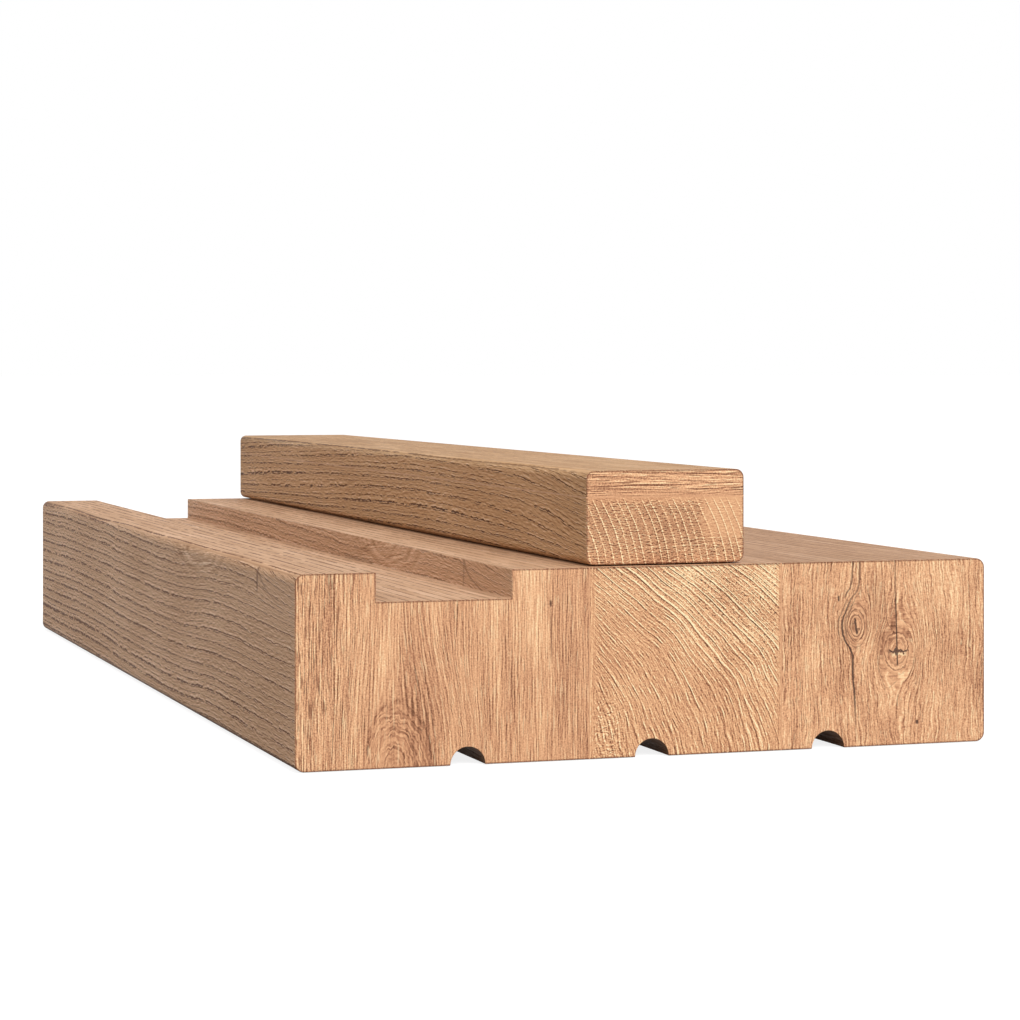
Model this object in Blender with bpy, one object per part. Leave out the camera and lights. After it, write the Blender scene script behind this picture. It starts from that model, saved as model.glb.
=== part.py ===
"""Oak threshold strip for a door: three glued lamellas with a rain groove, relief grooves and a raised stop batten.

Metres, +Z up. The strip runs along Y and stands on Z = 0. Its weather side faces -X and its room side +X.
"""

import math

import bmesh
import bpy
from mathutils import Matrix

# Sill: three lamellas side by side
LENGTH = 0.328
HEIGHT = 0.040
WEATHER_WIDTH = 0.0630
CORE_WIDTH = 0.0432
ROOM_WIDTH = 0.0482
EDGE_RADIUS = 0.0020

# Glue joints: the film, the free space on each side of it and how far it stays behind the wood's faces
GLUE_FILM = 0.0002
GLUE_CLEARANCE = 0.00005
GLUE_SHY = 0.0002

# Rain groove along the weather side
GROOVE_INSET = 0.017
GROOVE_WIDTH = 0.029
GROOVE_DEPTH = 0.006

# Half-round relief grooves along the underside
RELIEF_COUNT = 3
RELIEF_RADIUS = 0.00375
RELIEF_INSET = 0.0366
RELIEF_PITCH = 0.0405

# Stop batten, a body with a cap glued on it, in line with the weather joint, set back at the front end only
BATTEN_WIDTH = 0.0357
BATTEN_BODY_HEIGHT = 0.0140
BATTEN_CAP_HEIGHT = 0.0055
BATTEN_EDGE_RADIUS = 0.0018
BATTEN_SETBACK = 0.0020
SEAT_GAP = 0.0003

# Countersunk wood screws that hold the batten from below
SCREW_COUNT = 3
SCREW_END_DISTANCE = 0.045
SCREW_DIAMETER = 0.0045
SCREW_ROOT_DIAMETER = 0.0031
SCREW_HEAD_DIAMETER = 0.0088
SCREW_HEAD_RIM = 0.0004
SCREW_RECESS = 0.0073
SCREW_GRIP = 0.0110
SCREW_THREAD_LENGTH = 0.027
SCREW_PITCH = 0.0022
SCREW_TIP_LENGTH = 0.0050
SCREW_TIP_DIAMETER = 0.0006
DRIVE_SPAN = 0.0046
DRIVE_BLADE = 0.0012
DRIVE_DEPTH = 0.0022

# Fluted dowels that take the door's push on the batten
DOWEL_DIAMETER = 0.0080
DOWEL_IN_SILL = 0.0180
DOWEL_IN_BATTEN = 0.0110
DOWEL_CHAMFER = 0.0010
DOWEL_FLUTES = 12
DOWEL_FLUTE_DEPTH = 0.0004

# Free space round a screw or a dowel, and how far a cutter runs past the wood
FIT = 0.0003
OVERSHOOT = 0.0020

# Facets
ARC_STEPS = 6
ROUND_STEPS = 48
BORE_STEPS = 32
SCREW_STEPS = 12
RINGS_PER_TURN = 5

GLUE_JOINT = GLUE_FILM + 2 * GLUE_CLEARANCE
WIDTH = WEATHER_WIDTH + CORE_WIDTH + ROOM_WIDTH + 2 * GLUE_JOINT
WEATHER_X = -WIDTH / 2
CORE_X = WEATHER_X + WEATHER_WIDTH + GLUE_JOINT
ROOM_X = CORE_X + CORE_WIDTH + GLUE_JOINT
BATTEN_X = CORE_X - GLUE_JOINT / 2
BATTEN_MIDDLE = BATTEN_X + BATTEN_WIDTH / 2
BATTEN_LENGTH = LENGTH - BATTEN_SETBACK
BATTEN_Y = BATTEN_SETBACK / 2
BATTEN_Z = HEIGHT + SEAT_GAP
CAP_Z = BATTEN_Z + BATTEN_BODY_HEIGHT + GLUE_JOINT
SCREW_LENGTH = BATTEN_Z + SCREW_GRIP - SCREW_RECESS
SCREW_SPACING = (LENGTH - 2 * SCREW_END_DISTANCE) / (SCREW_COUNT - 1)
SCREW_PLACES = [SCREW_END_DISTANCE + n * SCREW_SPACING - LENGTH / 2 for n in range(SCREW_COUNT)]
DOWEL_PLACES = [y + SCREW_SPACING / 2 for y in SCREW_PLACES[:-1]]


def material(name, colour, roughness, metallic=0.0):
    made = bpy.data.materials.new(name)
    made.use_nodes = True
    shader = made.node_tree.nodes["Principled BSDF"]
    shader.inputs["Base Color"].default_value = (*colour, 1.0)
    shader.inputs["Roughness"].default_value = roughness
    shader.inputs["Metallic"].default_value = metallic
    return made


def add_object(name, shape, place, surface=None):
    """Turns a finished bmesh into an object under the strip's empty. One with no surface is a hidden cutter."""
    bmesh.ops.recalc_face_normals(shape, faces=shape.faces)
    mesh = bpy.data.meshes.new(name)
    shape.to_mesh(mesh)
    shape.free()
    made = bpy.data.objects.new(name, mesh)
    bpy.context.scene.collection.objects.link(made)
    made.parent = strip
    made.location = place
    if surface:
        mesh.materials.append(surface)
    else:
        made.hide_render = True
        made.display_type = "WIRE"
    return made


def cut(pieces, cutters):
    for piece in pieces:
        for cutter in cutters:
            modifier = piece.modifiers.new(cutter.name, "BOOLEAN")
            modifier.operation = "DIFFERENCE"
            modifier.solver = "EXACT"
            modifier.object = cutter


def board_section(width, height, radii):
    """The outline of a board in X and Z from its lower left corner, with an arc at each corner that has a radius."""
    corners = ((0, 0, 180), (width, 0, 270), (width, height, 0), (0, height, 90))
    outline = []
    for (x, z, start), radius in zip(corners, radii):
        radius = min(radius, 0.45 * min(width, height))
        middle_x = radius if x == 0 else x - radius
        middle_z = radius if z == 0 else z - radius
        for step in range(ARC_STEPS + 1 if radius else 1):
            angle = math.radians(start + 90 * step / ARC_STEPS)
            outline.append((middle_x + radius * math.cos(angle), middle_z + radius * math.sin(angle)))
    return outline


def board(width, height, length, radii=(0, 0, 0, 0)):
    """A board along Y. Only the strips of its rounded edges are shaded smooth."""
    shape = bmesh.new()
    corners = [shape.verts.new((x, -length / 2, z)) for x, z in board_section(width, height, radii)]
    front = shape.faces.new(corners)
    swept = bmesh.ops.extrude_face_region(shape, geom=[front])["geom"]
    bmesh.ops.translate(shape, vec=(0, length, 0), verts=[v for v in swept if isinstance(v, bmesh.types.BMVert)])
    shape.normal_update()
    for face in shape.faces:
        face.smooth = max(abs(value) for value in face.normal) < 0.999
    return shape


def add_rings(shape, rings):
    """Joins rings of points into one closed skin, with a flat cap on the first ring and on the last."""
    loops = [[shape.verts.new(point) for point in ring] for ring in rings]
    count = len(loops[0])
    for low, high in zip(loops, loops[1:]):
        for n in range(count):
            side = shape.faces.new((low[n], low[(n + 1) % count], high[(n + 1) % count], high[n]))
            side.smooth = True
    shape.faces.new(loops[0][::-1])
    shape.faces.new(loops[-1])


def round_rings(profile, steps, y=0.0):
    """Rings about a line parallel to Z, one for each radius and height of the profile."""
    turns = [2 * math.pi * n / steps for n in range(steps)]
    return [[(r * math.cos(a), y + r * math.sin(a), z) for a in turns] for r, z in profile]


def groove_cutter():
    shape = bmesh.new()
    size = (GROOVE_WIDTH, LENGTH + 2 * OVERSHOOT, GROOVE_DEPTH + OVERSHOOT)
    bmesh.ops.create_cube(shape, size=1.0, matrix=Matrix.Diagonal((*size, 1.0)))
    place = (WEATHER_X + GROOVE_INSET + GROOVE_WIDTH / 2, 0, HEIGHT - GROOVE_DEPTH + size[2] / 2)
    return add_object("groove_cutter", shape, place)


def relief_cutter():
    shape = bmesh.new()
    turned = Matrix.Rotation(math.pi / 2, 4, "X")
    for n in range(RELIEF_COUNT):
        bmesh.ops.create_cone(
            shape,
            cap_ends=True,
            segments=ROUND_STEPS,
            radius1=RELIEF_RADIUS,
            radius2=RELIEF_RADIUS,
            depth=LENGTH + 2 * OVERSHOOT,
            matrix=Matrix.Translation((n * RELIEF_PITCH, 0, 0)) @ turned,
        )
    for face in shape.faces:
        face.smooth = len(face.verts) == 4
    return add_object("relief_cutter", shape, (WEATHER_X + RELIEF_INSET, 0, 0))


def screw_bore_cutter():
    """A counterbore, a countersunk seat and a hole up into the batten for each screw."""
    head = SCREW_HEAD_DIAMETER / 2 + FIT
    hole = SCREW_DIAMETER / 2 + FIT
    seat = SCREW_RECESS + SCREW_HEAD_RIM
    profile = (
        (head, -OVERSHOOT),
        (head, seat),
        (hole, seat + head - hole),
        (hole, SCREW_RECESS + SCREW_LENGTH + FIT),
    )
    shape = bmesh.new()
    for y in SCREW_PLACES:
        add_rings(shape, round_rings(profile, BORE_STEPS, y))
    return add_object("screw_bore_cutter", shape, (BATTEN_MIDDLE, 0, 0))


def dowel_hole_cutter():
    radius = DOWEL_DIAMETER / 2 + FIT
    profile = ((radius, HEIGHT - DOWEL_IN_SILL - FIT), (radius, BATTEN_Z + DOWEL_IN_BATTEN + FIT))
    shape = bmesh.new()
    for y in DOWEL_PLACES:
        add_rings(shape, round_rings(profile, BORE_STEPS, y))
    return add_object("dowel_hole_cutter", shape, (BATTEN_MIDDLE, 0, 0))


def thread_radius(z, turn):
    """How far the screw reaches at a height and an angle: a sharp helical ridge that runs out at both ends."""
    root = SCREW_ROOT_DIAMETER / 2
    ridge = SCREW_DIAMETER / 2 - root
    to_tip = SCREW_LENGTH - z
    taper = min(1.0, to_tip / SCREW_TIP_LENGTH)
    start = SCREW_LENGTH - SCREW_THREAD_LENGTH
    run_out = max(0.0, min(1.0, (z - start) / SCREW_PITCH))
    phase = (z / SCREW_PITCH - turn) % 1.0
    height = max(0.0, 1 - 2.4 * abs(phase - 0.5))
    tip = SCREW_TIP_DIAMETER / 2
    return tip + (root - tip + ridge * height * run_out) * taper


def screw_shape():
    """A wood screw that points up, with its head's flat face at the origin."""
    shank = SCREW_ROOT_DIAMETER / 2
    head = SCREW_HEAD_DIAMETER / 2
    neck = SCREW_HEAD_RIM + head - shank
    rings = round_rings(((head, 0), (head, SCREW_HEAD_RIM), (shank, neck)), SCREW_STEPS)
    start = SCREW_LENGTH - SCREW_THREAD_LENGTH
    count = round(SCREW_THREAD_LENGTH / SCREW_PITCH * RINGS_PER_TURN)
    for n in range(count + 1):
        z = start + SCREW_THREAD_LENGTH * n / count
        ring = []
        for step in range(SCREW_STEPS):
            turn = step / SCREW_STEPS
            radius = thread_radius(z, turn)
            ring.append((radius * math.cos(2 * math.pi * turn), radius * math.sin(2 * math.pi * turn), z))
        rings.append(ring)
    shape = bmesh.new()
    add_rings(shape, rings)
    return shape


def drive_shape():
    """A cross that cuts the screw's drive into its head."""
    near = DRIVE_BLADE / 2
    far = DRIVE_SPAN / 2
    arm = ((near, far), (near, near), (far, near), (far, -near), (near, -near), (near, -far))
    outline = [*arm, *((-x, -y) for x, y in arm)]
    shape = bmesh.new()
    add_rings(shape, [[(x, y, z) for x, y in outline[::-1]] for z in (-OVERSHOOT, DRIVE_DEPTH)])
    for face in shape.faces:
        face.smooth = False
    return shape


def dowel_shape():
    """A fluted dowel along Z with its lower end at the origin and both ends chamfered."""
    steps = 2 * DOWEL_FLUTES
    radius = DOWEL_DIAMETER / 2
    length = DOWEL_IN_SILL + SEAT_GAP + DOWEL_IN_BATTEN
    levels = (
        (DOWEL_CHAMFER, 0),
        (0, DOWEL_CHAMFER),
        (0, length - DOWEL_CHAMFER),
        (DOWEL_CHAMFER, length),
    )
    rings = []
    for chamfer, z in levels:
        ring = []
        for n in range(steps):
            reach = radius - chamfer - DOWEL_FLUTE_DEPTH * (n % 2)
            angle = 2 * math.pi * n / steps
            ring.append((reach * math.cos(angle), reach * math.sin(angle), z))
        rings.append(ring)
    shape = bmesh.new()
    add_rings(shape, rings)
    for face in shape.faces:
        face.smooth = False
    return shape


for old in list(bpy.data.objects):
    bpy.data.objects.remove(old, do_unlink=True)

strip = bpy.data.objects.new("threshold_strip", None)
bpy.context.scene.collection.objects.link(strip)

oak_weather = material("oak_weather", (0.44, 0.30, 0.19), 0.60)
oak_core = material("oak_core", (0.56, 0.35, 0.20), 0.62)
oak_room = material("oak_room", (0.52, 0.33, 0.20), 0.60)
oak_batten = material("oak_batten", (0.50, 0.31, 0.18), 0.60)
oak_cap = material("oak_cap", (0.54, 0.36, 0.22), 0.58)
glue = material("glue", (0.27, 0.17, 0.09), 0.45)
zinc_steel = material("zinc_steel", (0.62, 0.62, 0.60), 0.35, 1.0)
beech = material("beech", (0.62, 0.43, 0.27), 0.65)

# Sill
weather_lamella = add_object(
    "weather_lamella",
    board(WEATHER_WIDTH, HEIGHT, LENGTH, (EDGE_RADIUS, 0, 0, EDGE_RADIUS)),
    (WEATHER_X, 0, 0),
    oak_weather,
)
core_lamella = add_object("core_lamella", board(CORE_WIDTH, HEIGHT, LENGTH), (CORE_X, 0, 0), oak_core)
room_lamella = add_object(
    "room_lamella",
    board(ROOM_WIDTH, HEIGHT, LENGTH, (0, EDGE_RADIUS, EDGE_RADIUS, 0)),
    (ROOM_X, 0, 0),
    oak_room,
)
sill = [weather_lamella, core_lamella, room_lamella]
for name, next_x in (("weather_glue_line", CORE_X), ("room_glue_line", ROOM_X)):
    film = board(GLUE_FILM, HEIGHT - 2 * GLUE_SHY, LENGTH - 2 * GLUE_SHY)
    sill.append(add_object(name, film, (next_x - GLUE_CLEARANCE - GLUE_FILM, 0, GLUE_SHY), glue))

# Batten
batten_body = add_object(
    "batten_body",
    board(BATTEN_WIDTH, BATTEN_BODY_HEIGHT, BATTEN_LENGTH, (BATTEN_EDGE_RADIUS, BATTEN_EDGE_RADIUS, 0, 0)),
    (BATTEN_X, BATTEN_Y, BATTEN_Z),
    oak_batten,
)
add_object(
    "batten_cap",
    board(BATTEN_WIDTH, BATTEN_CAP_HEIGHT, BATTEN_LENGTH, (0, 0, BATTEN_EDGE_RADIUS, BATTEN_EDGE_RADIUS)),
    (BATTEN_X, BATTEN_Y, CAP_Z),
    oak_cap,
)
add_object(
    "batten_glue_line",
    board(BATTEN_WIDTH - 2 * GLUE_SHY, GLUE_FILM, BATTEN_LENGTH - 2 * GLUE_SHY),
    (BATTEN_X + GLUE_SHY, BATTEN_Y, CAP_Z - GLUE_CLEARANCE - GLUE_FILM),
    glue,
)

# Grooves and holes
bores = [screw_bore_cutter(), dowel_hole_cutter()]
cut(sill, [groove_cutter(), relief_cutter(), *bores])
cut([batten_body], bores)

# Fixings
for n, y in enumerate(SCREW_PLACES, 1):
    place = (BATTEN_MIDDLE, y, SCREW_RECESS)
    screw = add_object(f"batten_screw_{n}", screw_shape(), place, zinc_steel)
    cut([screw], [add_object(f"drive_cutter_{n}", drive_shape(), place)])
for n, y in enumerate(DOWEL_PLACES, 1):
    add_object(f"batten_dowel_{n}", dowel_shape(), (BATTEN_MIDDLE, y, HEIGHT - DOWEL_IN_SILL), beech)
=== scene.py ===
# %% [markdown]
# # An oak threshold strip
#
# A threshold strip lies under a door. This one is a short piece of laminated oak: three planks glued side
# by side make the sill, a square groove runs along the weather side, three half-round grooves run along the
# underside, and a batten of two glued layers stands on top as the door's stop. The lesson loads the
# measured solids, models each plank again with softened edges, and spends most of its time on the oak.

# %% Load the measured model
import math

import bpy
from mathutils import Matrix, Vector


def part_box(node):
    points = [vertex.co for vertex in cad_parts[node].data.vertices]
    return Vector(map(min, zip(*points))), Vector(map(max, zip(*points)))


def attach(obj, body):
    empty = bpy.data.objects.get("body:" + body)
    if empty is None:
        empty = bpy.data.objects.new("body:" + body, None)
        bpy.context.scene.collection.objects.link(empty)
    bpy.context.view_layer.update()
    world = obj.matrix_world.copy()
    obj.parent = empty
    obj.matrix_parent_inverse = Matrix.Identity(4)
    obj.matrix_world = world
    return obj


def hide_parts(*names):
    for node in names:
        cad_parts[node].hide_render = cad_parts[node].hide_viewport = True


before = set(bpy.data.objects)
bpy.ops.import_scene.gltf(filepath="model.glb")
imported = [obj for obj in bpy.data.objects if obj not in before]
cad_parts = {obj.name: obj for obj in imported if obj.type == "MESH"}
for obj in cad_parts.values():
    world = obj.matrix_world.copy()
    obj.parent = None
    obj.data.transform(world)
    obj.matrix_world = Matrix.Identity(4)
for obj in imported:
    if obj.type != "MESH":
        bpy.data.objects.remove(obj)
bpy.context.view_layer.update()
bpy.context.scene.view_settings.view_transform = "Standard"
print("solids:", sorted(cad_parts))

# %% [markdown]
# ## Tools for modelling by hand
#
# Each plank starts as a box that is added at its size and place. Long edges are rounded in edit mode,
# grooves are cut with Boolean modifiers that are applied at once, and a hair-fine bevel breaks every sharp
# edge, because no saw leaves a perfect one. Everything is deselected first, since an operator acts on all
# that is selected.

# %% Modelling helpers
BROKEN_EDGE, BREAK_STEPS = 0.00012, 2
ROUND_STEPS = 10
SHARP_ANGLE = math.radians(40)
LONG_EDGE = 0.1
SAME_PLACE = 1e-5
FLAT_NORMAL = 0.9995


def box_between(name, low, high):
    """A box from one corner to the other, with its place and size in its mesh."""
    bpy.ops.object.select_all(action="DESELECT")
    bpy.ops.mesh.primitive_cube_add(size=1.0, location=(Vector(low) + Vector(high)) / 2)
    made = bpy.context.object
    made.name = made.data.name = name
    made.scale = Vector(high) - Vector(low)
    bpy.ops.object.transform_apply(location=True, rotation=True, scale=True)
    return made


def rod(radius, depth, middle, turn=(0, 0, 0), sides=64):
    """A round cutter about its middle, with its place in its mesh."""
    bpy.ops.object.select_all(action="DESELECT")
    bpy.ops.mesh.primitive_cylinder_add(
        vertices=sides, radius=radius, depth=depth, location=middle, rotation=turn
    )
    bpy.ops.object.transform_apply(location=True, rotation=True, scale=True)
    return bpy.context.object


def apply_modifier(piece, kind, **settings):
    modifier = piece.modifiers.new(kind.lower(), kind)
    for key, value in settings.items():
        setattr(modifier, key, value)
    bpy.ops.object.select_all(action="DESELECT")
    bpy.context.view_layer.objects.active = piece
    bpy.ops.object.modifier_apply(modifier=modifier.name)


def carve(piece, cutter):
    apply_modifier(piece, "BOOLEAN", operation="DIFFERENCE", solver="EXACT", object=cutter)
    bpy.data.objects.remove(cutter, do_unlink=True)


def bevel_edges(piece, width, steps, wanted):
    """Bevels the sharp edges that are wanted, given both their ends."""
    bpy.ops.object.select_all(action="DESELECT")
    bpy.context.view_layer.objects.active = piece
    piece.select_set(True)
    bpy.ops.object.mode_set(mode="EDIT")
    bpy.ops.mesh.select_mode(type="EDGE")
    bpy.ops.mesh.select_all(action="DESELECT")
    bpy.ops.mesh.edges_select_sharp(sharpness=SHARP_ANGLE)
    bpy.ops.object.mode_set(mode="OBJECT")
    mesh = piece.data
    points = mesh.vertices
    chosen = [edge for edge in mesh.edges if edge.select and wanted(*(points[n].co for n in edge.vertices))]
    for parts in (mesh.vertices, mesh.edges, mesh.polygons):
        parts.foreach_set("select", [False] * len(parts))
    for edge in chosen:
        edge.select = True
    bpy.ops.object.mode_set(mode="EDIT")
    bpy.ops.mesh.bevel(offset=width, segments=steps, profile=0.5, affect="EDGES")
    bpy.ops.object.mode_set(mode="OBJECT")


def round_long_edges(piece, radius, wanted):
    """Rounds the edges along Y whose middle is wanted."""
    def long_edge(a, b):
        return abs(a.y - b.y) > LONG_EDGE and wanted((a + b) / 2)

    bevel_edges(piece, radius, ROUND_STEPS, long_edge)


def finish_plank(piece, *joints):
    """Breaks the sharp edges, apart from those in a glue joint, and shades only the round strips smooth."""
    def open_edge(a, b):
        return not any(abs(a[axis] - place) + abs(b[axis] - place) < SAME_PLACE for axis, place in joints)

    bevel_edges(piece, BROKEN_EDGE, BREAK_STEPS, open_edge)
    for face in piece.data.polygons:
        face.use_smooth = max(abs(value) for value in face.normal) < FLAT_NORMAL
    print(piece.name, "faces:", len(piece.data.polygons))

# %% [markdown]
# ## The sill's three planks
#
# A joiner glues three planks side by side so that the wide board can't cup. Each plank takes its place and
# size from the measured solid, and the films of glue come between them later. The outer long edges are
# rounded to 2 mm and the inner ones stay square against their neighbours. A bevel of many steps along a
# box's edges gives the round, and the box keeps its flat faces, so its ends can have a material of their
# own.

# %% Three planks
MM = 1000
EDGE_RADIUS = 0.0020
OUTER_X = 0.07
planks = {}
for name in ("weather_lamella", "core_lamella", "room_lamella"):
    low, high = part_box(name)
    planks[name] = box_between("oak_" + name, low, high)
round_long_edges(planks["weather_lamella"], EDGE_RADIUS, lambda middle: middle.x < -OUTER_X)
round_long_edges(planks["room_lamella"], EDGE_RADIUS, lambda middle: middle.x > OUTER_X)
sill_low, sill_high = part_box("weather_lamella")[0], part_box("room_lamella")[1]
print("sill, mm:", [round(value * MM, 1) for value in sill_high - sill_low])

# %% [markdown]
# ## Grooves
#
# The rain groove is a square channel that a saw or a router runs from end to end, and it can hold a seal or
# a rail. The half-round grooves below keep the board flat and let glue or air out when it is bedded. Each
# is a cutter that runs a little past both ends. The screws that hold the batten come up from below, each in
# a counterbore.

# %% Cut the grooves and the bores
LENGTH = sill_high.y - sill_low.y
PAST = 0.002
GROOVE_INSET, GROOVE_WIDTH, GROOVE_DEPTH = 0.017, 0.029, 0.006
RELIEF_RADIUS, RELIEF_INSET, RELIEF_PITCH = 0.00375, 0.0366, 0.0405
COUNTERBORE_RADIUS, HEAD_RIM = 0.0047, 0.0004
HOLE_RADIUS, HOLE_LOW, HOLE_HIGH = 0.00255, 0.005, 0.055
groove_x = sill_low.x + GROOVE_INSET
carve(
    planks["weather_lamella"],
    box_between(
        "groove_cutter",
        (groove_x, sill_low.y - PAST, sill_high.z - GROOVE_DEPTH),
        (groove_x + GROOVE_WIDTH, sill_high.y + PAST, sill_high.z + PAST),
    ),
)
for n, name in enumerate(planks):
    relief_x = sill_low.x + RELIEF_INSET + n * RELIEF_PITCH
    carve(planks[name], rod(RELIEF_RADIUS, LENGTH + 2 * PAST, (relief_x, 0, 0), turn=(math.pi / 2, 0, 0)))
for n in (1, 2, 3):
    head_low, head_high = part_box(f"batten_screw_{n}")
    bore_x, bore_y = (head_low.x + head_high.x) / 2, (head_low.y + head_high.y) / 2
    for radius, low, high, sides in (
        (COUNTERBORE_RADIUS, -PAST, head_low.z + HEAD_RIM, 48),
        (HOLE_RADIUS, HOLE_LOW, HOLE_HIGH, 32),
    ):
        middle = (bore_x, bore_y, (low + high) / 2)
        carve(planks["core_lamella"], rod(radius, high - low, middle, sides=sides))
weather_joint, room_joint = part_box("weather_lamella")[1].x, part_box("room_lamella")[0].x
finish_plank(planks["weather_lamella"], (0, weather_joint))
finish_plank(planks["core_lamella"], (0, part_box("core_lamella")[0].x), (0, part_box("core_lamella")[1].x))
finish_plank(planks["room_lamella"], (0, room_joint))

# %% [markdown]
# ## The stop batten
#
# The batten is a body with a thin cap glued on. Its four long edges are rounded. At the front it stands a
# little short of the sill, and at the back it is level with it. Body and cap are two pieces, so that the
# seam between their unlike grain is a real one.

# %% Batten body and cap
BATTEN_RADIUS = 0.0018
for name, outer in (("batten_body", -1), ("batten_cap", 1)):
    low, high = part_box(name)
    middle_z = (low.z + high.z) / 2
    piece = planks[name] = box_between("oak_" + name, low, high)
    round_long_edges(piece, BATTEN_RADIUS, lambda middle: (middle.z - middle_z) * outer > 0)
    finish_plank(piece, (2, low.z if outer > 0 else high.z))

# %% [markdown]
# ## Glue lines
#
# Between two planks lies a film of set glue. Once the board has been planed the film is level with the wood
# and takes its tone, so a joint hardly shows. Each film fills its joint, three tenths of a millimetre wide,
# out to the faces of its neighbours, and the edges that run across the joint are broken as theirs are.

# %% Glue films
JOINT_EDGE = 0.0001


def glue_film(name, left, right, axis):
    (left_low, left_high), (right_low, right_high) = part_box(left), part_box(right)
    low, high = right_low.copy(), left_high.copy()
    for other in range(3):
        low[other] = max(left_low[other], right_low[other])
        high[other] = min(left_high[other], right_high[other])
    low[axis], high[axis] = left_high[axis], right_low[axis]
    film = box_between("set_" + name, low, high)
    bevel_edges(film, BROKEN_EDGE, BREAK_STEPS, lambda a, b: abs(a[axis] - b[axis]) > JOINT_EDGE)
    return film


films = {
    "weather_glue_line": glue_film("weather_glue_line", "weather_lamella", "core_lamella", 0),
    "room_glue_line": glue_film("room_glue_line", "core_lamella", "room_lamella", 0),
    "batten_glue_line": glue_film("batten_glue_line", "batten_body", "batten_cap", 2),
}
print("films:", list(films))

# %% [markdown]
# ## Writing a material as formulas
#
# Oak is drawn with shader nodes. A node tree for wood grows to hundreds of Math nodes, so two small classes
# let the lesson write them as sums: a Grain value that is added to or multiplied by something makes the
# node by itself, and a Surface is the material that it belongs to. Every pattern reads Object coordinates,
# turned into millimetres from the front weather corner of the underside.

# %% A small language for grain
class Grain:
    """One output of a node, with arithmetic."""

    def __init__(self, surface, socket):
        self.surface, self.socket = surface, socket

    def __add__(self, other):
        return self.surface.math("ADD", self, other)

    def __sub__(self, other):
        return self.surface.math("SUBTRACT", self, other)

    def __mul__(self, other):
        return self.surface.math("MULTIPLY", self, other)

    def __truediv__(self, other):
        return self.surface.math("DIVIDE", self, other)

    def __rsub__(self, other):
        return self.surface.math("SUBTRACT", other, self)

    __radd__, __rmul__ = __add__, __mul__

    def size(self):
        return self.surface.math("ABSOLUTE", self)

    def root(self):
        return self.surface.math("SQRT", self)

    def part(self):
        return self.surface.math("FRACT", self)

    def whole(self):
        return self.surface.math("FLOOR", self)

    def most(self, other):
        return self.surface.math("MAXIMUM", self, other)

    def least(self, other):
        return self.surface.math("MINIMUM", self, other)

    def rise(self, start, end):
        """0 before start, 1 after end and a smooth step between."""
        node = self.surface.node("ShaderNodeMapRange", interpolation_type="SMOOTHSTEP")
        for place, value in enumerate((self, start, end)):
            self.surface.feed(node.inputs[place], value)
        return Grain(self.surface, node.outputs[0])

    def line(self, middle, width, soft=0.6):
        """1 on a line where the value is middle, fading over its width."""
        return 1 - (self - middle).size().rise(width * (1 - soft), width)

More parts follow.
